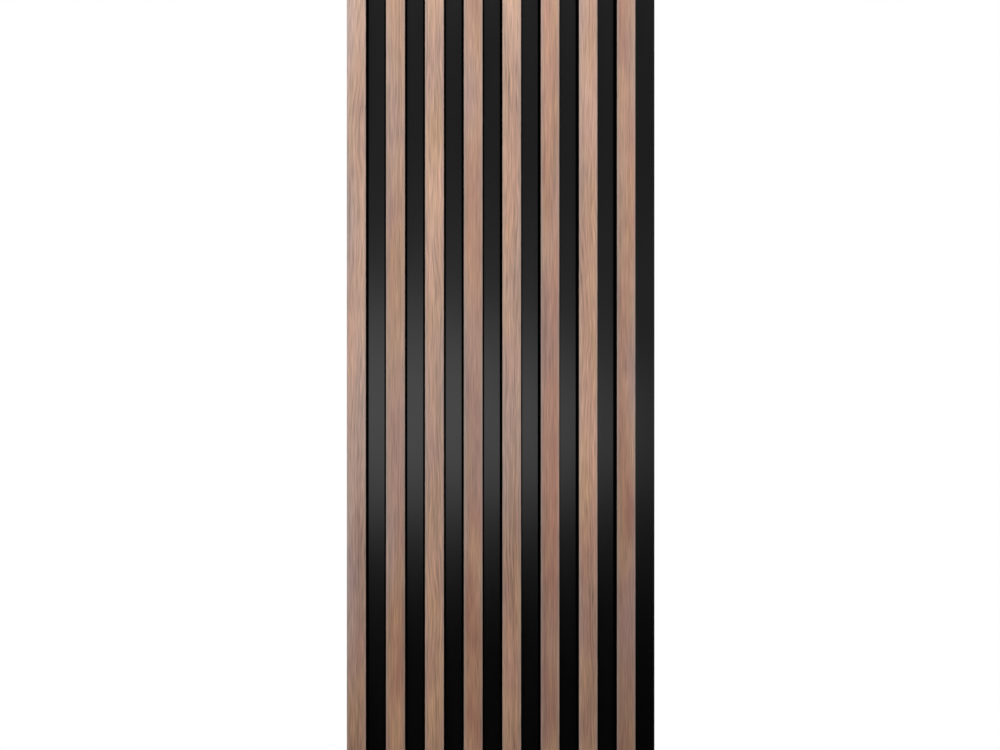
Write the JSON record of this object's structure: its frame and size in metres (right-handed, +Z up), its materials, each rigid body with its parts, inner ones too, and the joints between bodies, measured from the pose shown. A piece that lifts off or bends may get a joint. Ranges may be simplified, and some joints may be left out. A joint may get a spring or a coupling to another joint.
{
  "type": "slat wall panel",
  "caption": "Upright slat wall panel: wood-decor slats with sloping black sides on a flat satin black backing board, with open channels between them.",
  "frame": {"origin": "centre of the backing board's back face, which lies on the wall", "axes": "+X across the panel, to the right as seen from the room, +Y into the wall, +Z up along the slats"},
  "size_m": [0.3, 0.018, 2.4],
  "materials": {
    "board_black": "satin",
    "batten_black": "satin",
    "wood_decor": "satin"
  },
  "bodies": {
    "root": {"backing_board": "board_black", "slat_batten_1": "batten_black", "slat_batten_2": "batten_black", "slat_batten_3": "batten_black", "slat_batten_4": "batten_black", "slat_batten_5": "batten_black", "slat_batten_6": "batten_black", "slat_batten_7": "batten_black", "slat_batten_8": "batten_black", "slat_face_1": "wood_decor", "slat_face_2": "wood_decor", "slat_face_3": "wood_decor", "slat_face_4": "wood_decor", "slat_face_5": "wood_decor", "slat_face_6": "wood_decor", "slat_face_7": "wood_decor", "slat_face_8": "wood_decor"}
  },
  "joints": []
}
